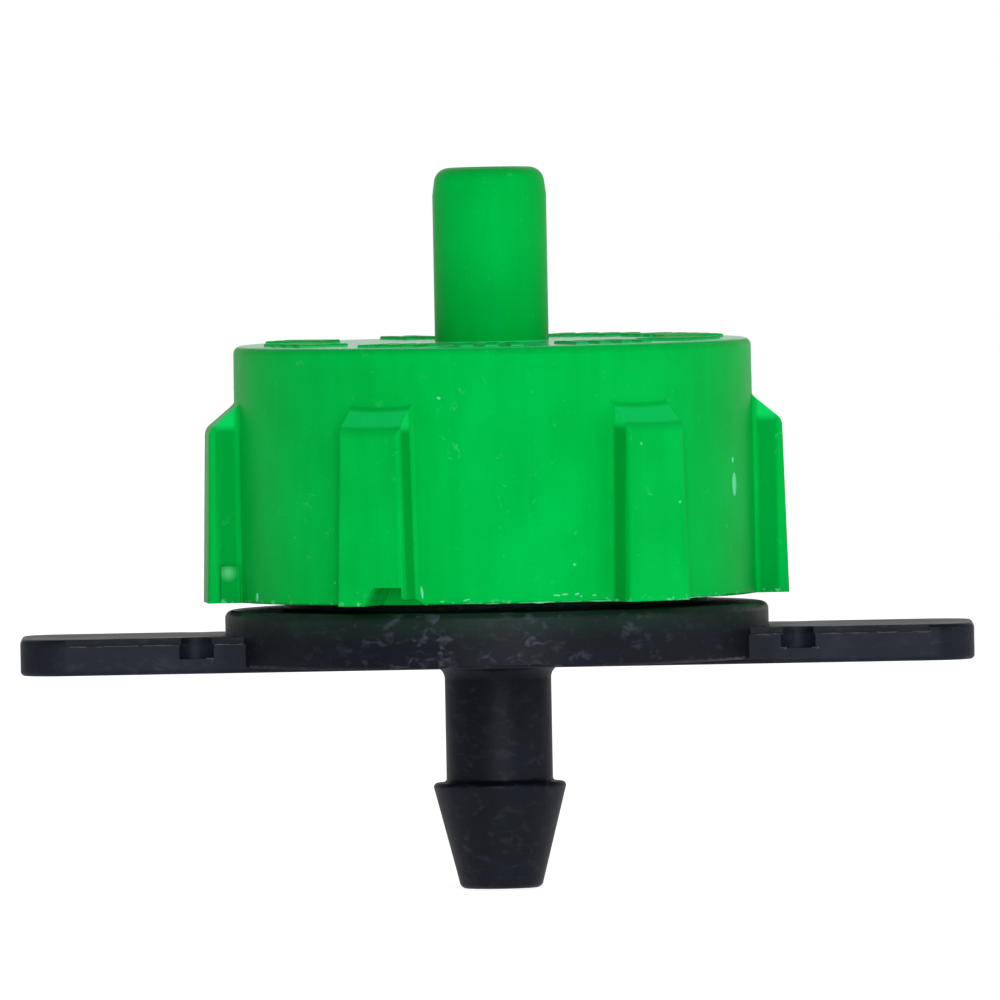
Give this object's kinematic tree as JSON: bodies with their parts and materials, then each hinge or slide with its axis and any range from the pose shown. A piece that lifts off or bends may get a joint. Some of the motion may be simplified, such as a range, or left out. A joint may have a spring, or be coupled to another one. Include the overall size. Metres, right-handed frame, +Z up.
{
  "type": "drip emitter",
  "caption": "Take-apart pressure-compensating drip emitter: barbed winged base, ribbed screw cap with outlet nipple, labyrinth core and diaphragm.",
  "frame": {"origin": "on the emitter's axis at the shoulder of the inlet barb, where the supply pipe's inner face rests", "axes": "+Z up the axis through the outlet nipple, +X along one wing, +Y across the wings"},
  "size_m": [0.038, 0.022, 0.0288],
  "materials": {
    "black_base": "fine moulded satin, blue-black",
    "green_cap": "moulded semi-gloss, bright green",
    "natural_core": "moulded, natural off-white",
    "silicone": "matte translucent silicone",
    "seal_rubber": "matte black rubber"
  },
  "bodies": {
    "base": {"base": "black_base", "seal_ring": "seal_rubber"},
    "cartridge": {"flow_core": "natural_core"},
    "cap": {"cap": "green_cap"},
    "diaphragm": {"diaphragm": "silicone"}
  },
  "joints": [
    {"name": "cap_lift", "type": "slide", "parent": "base", "child": "cartridge", "axis": [0, 0, 1], "range_m": [0, 0.00169]},
    {"name": "cap_turn", "type": "hinge", "parent": "cartridge", "child": "cap", "pos_m": [0, 0, 0.00734], "axis": [0, 0, 1], "range_deg": [0, 90]},
    {"name": "diaphragm_float", "type": "slide", "parent": "cartridge", "child": "diaphragm", "axis": [0, 0, 1], "range_m": [0, 0.0003]}
  ],
  "couplings": [
    {"joint": "cap_lift", "follows": "cap_turn", "m_per_rad": 0.0010731}
  ]
}
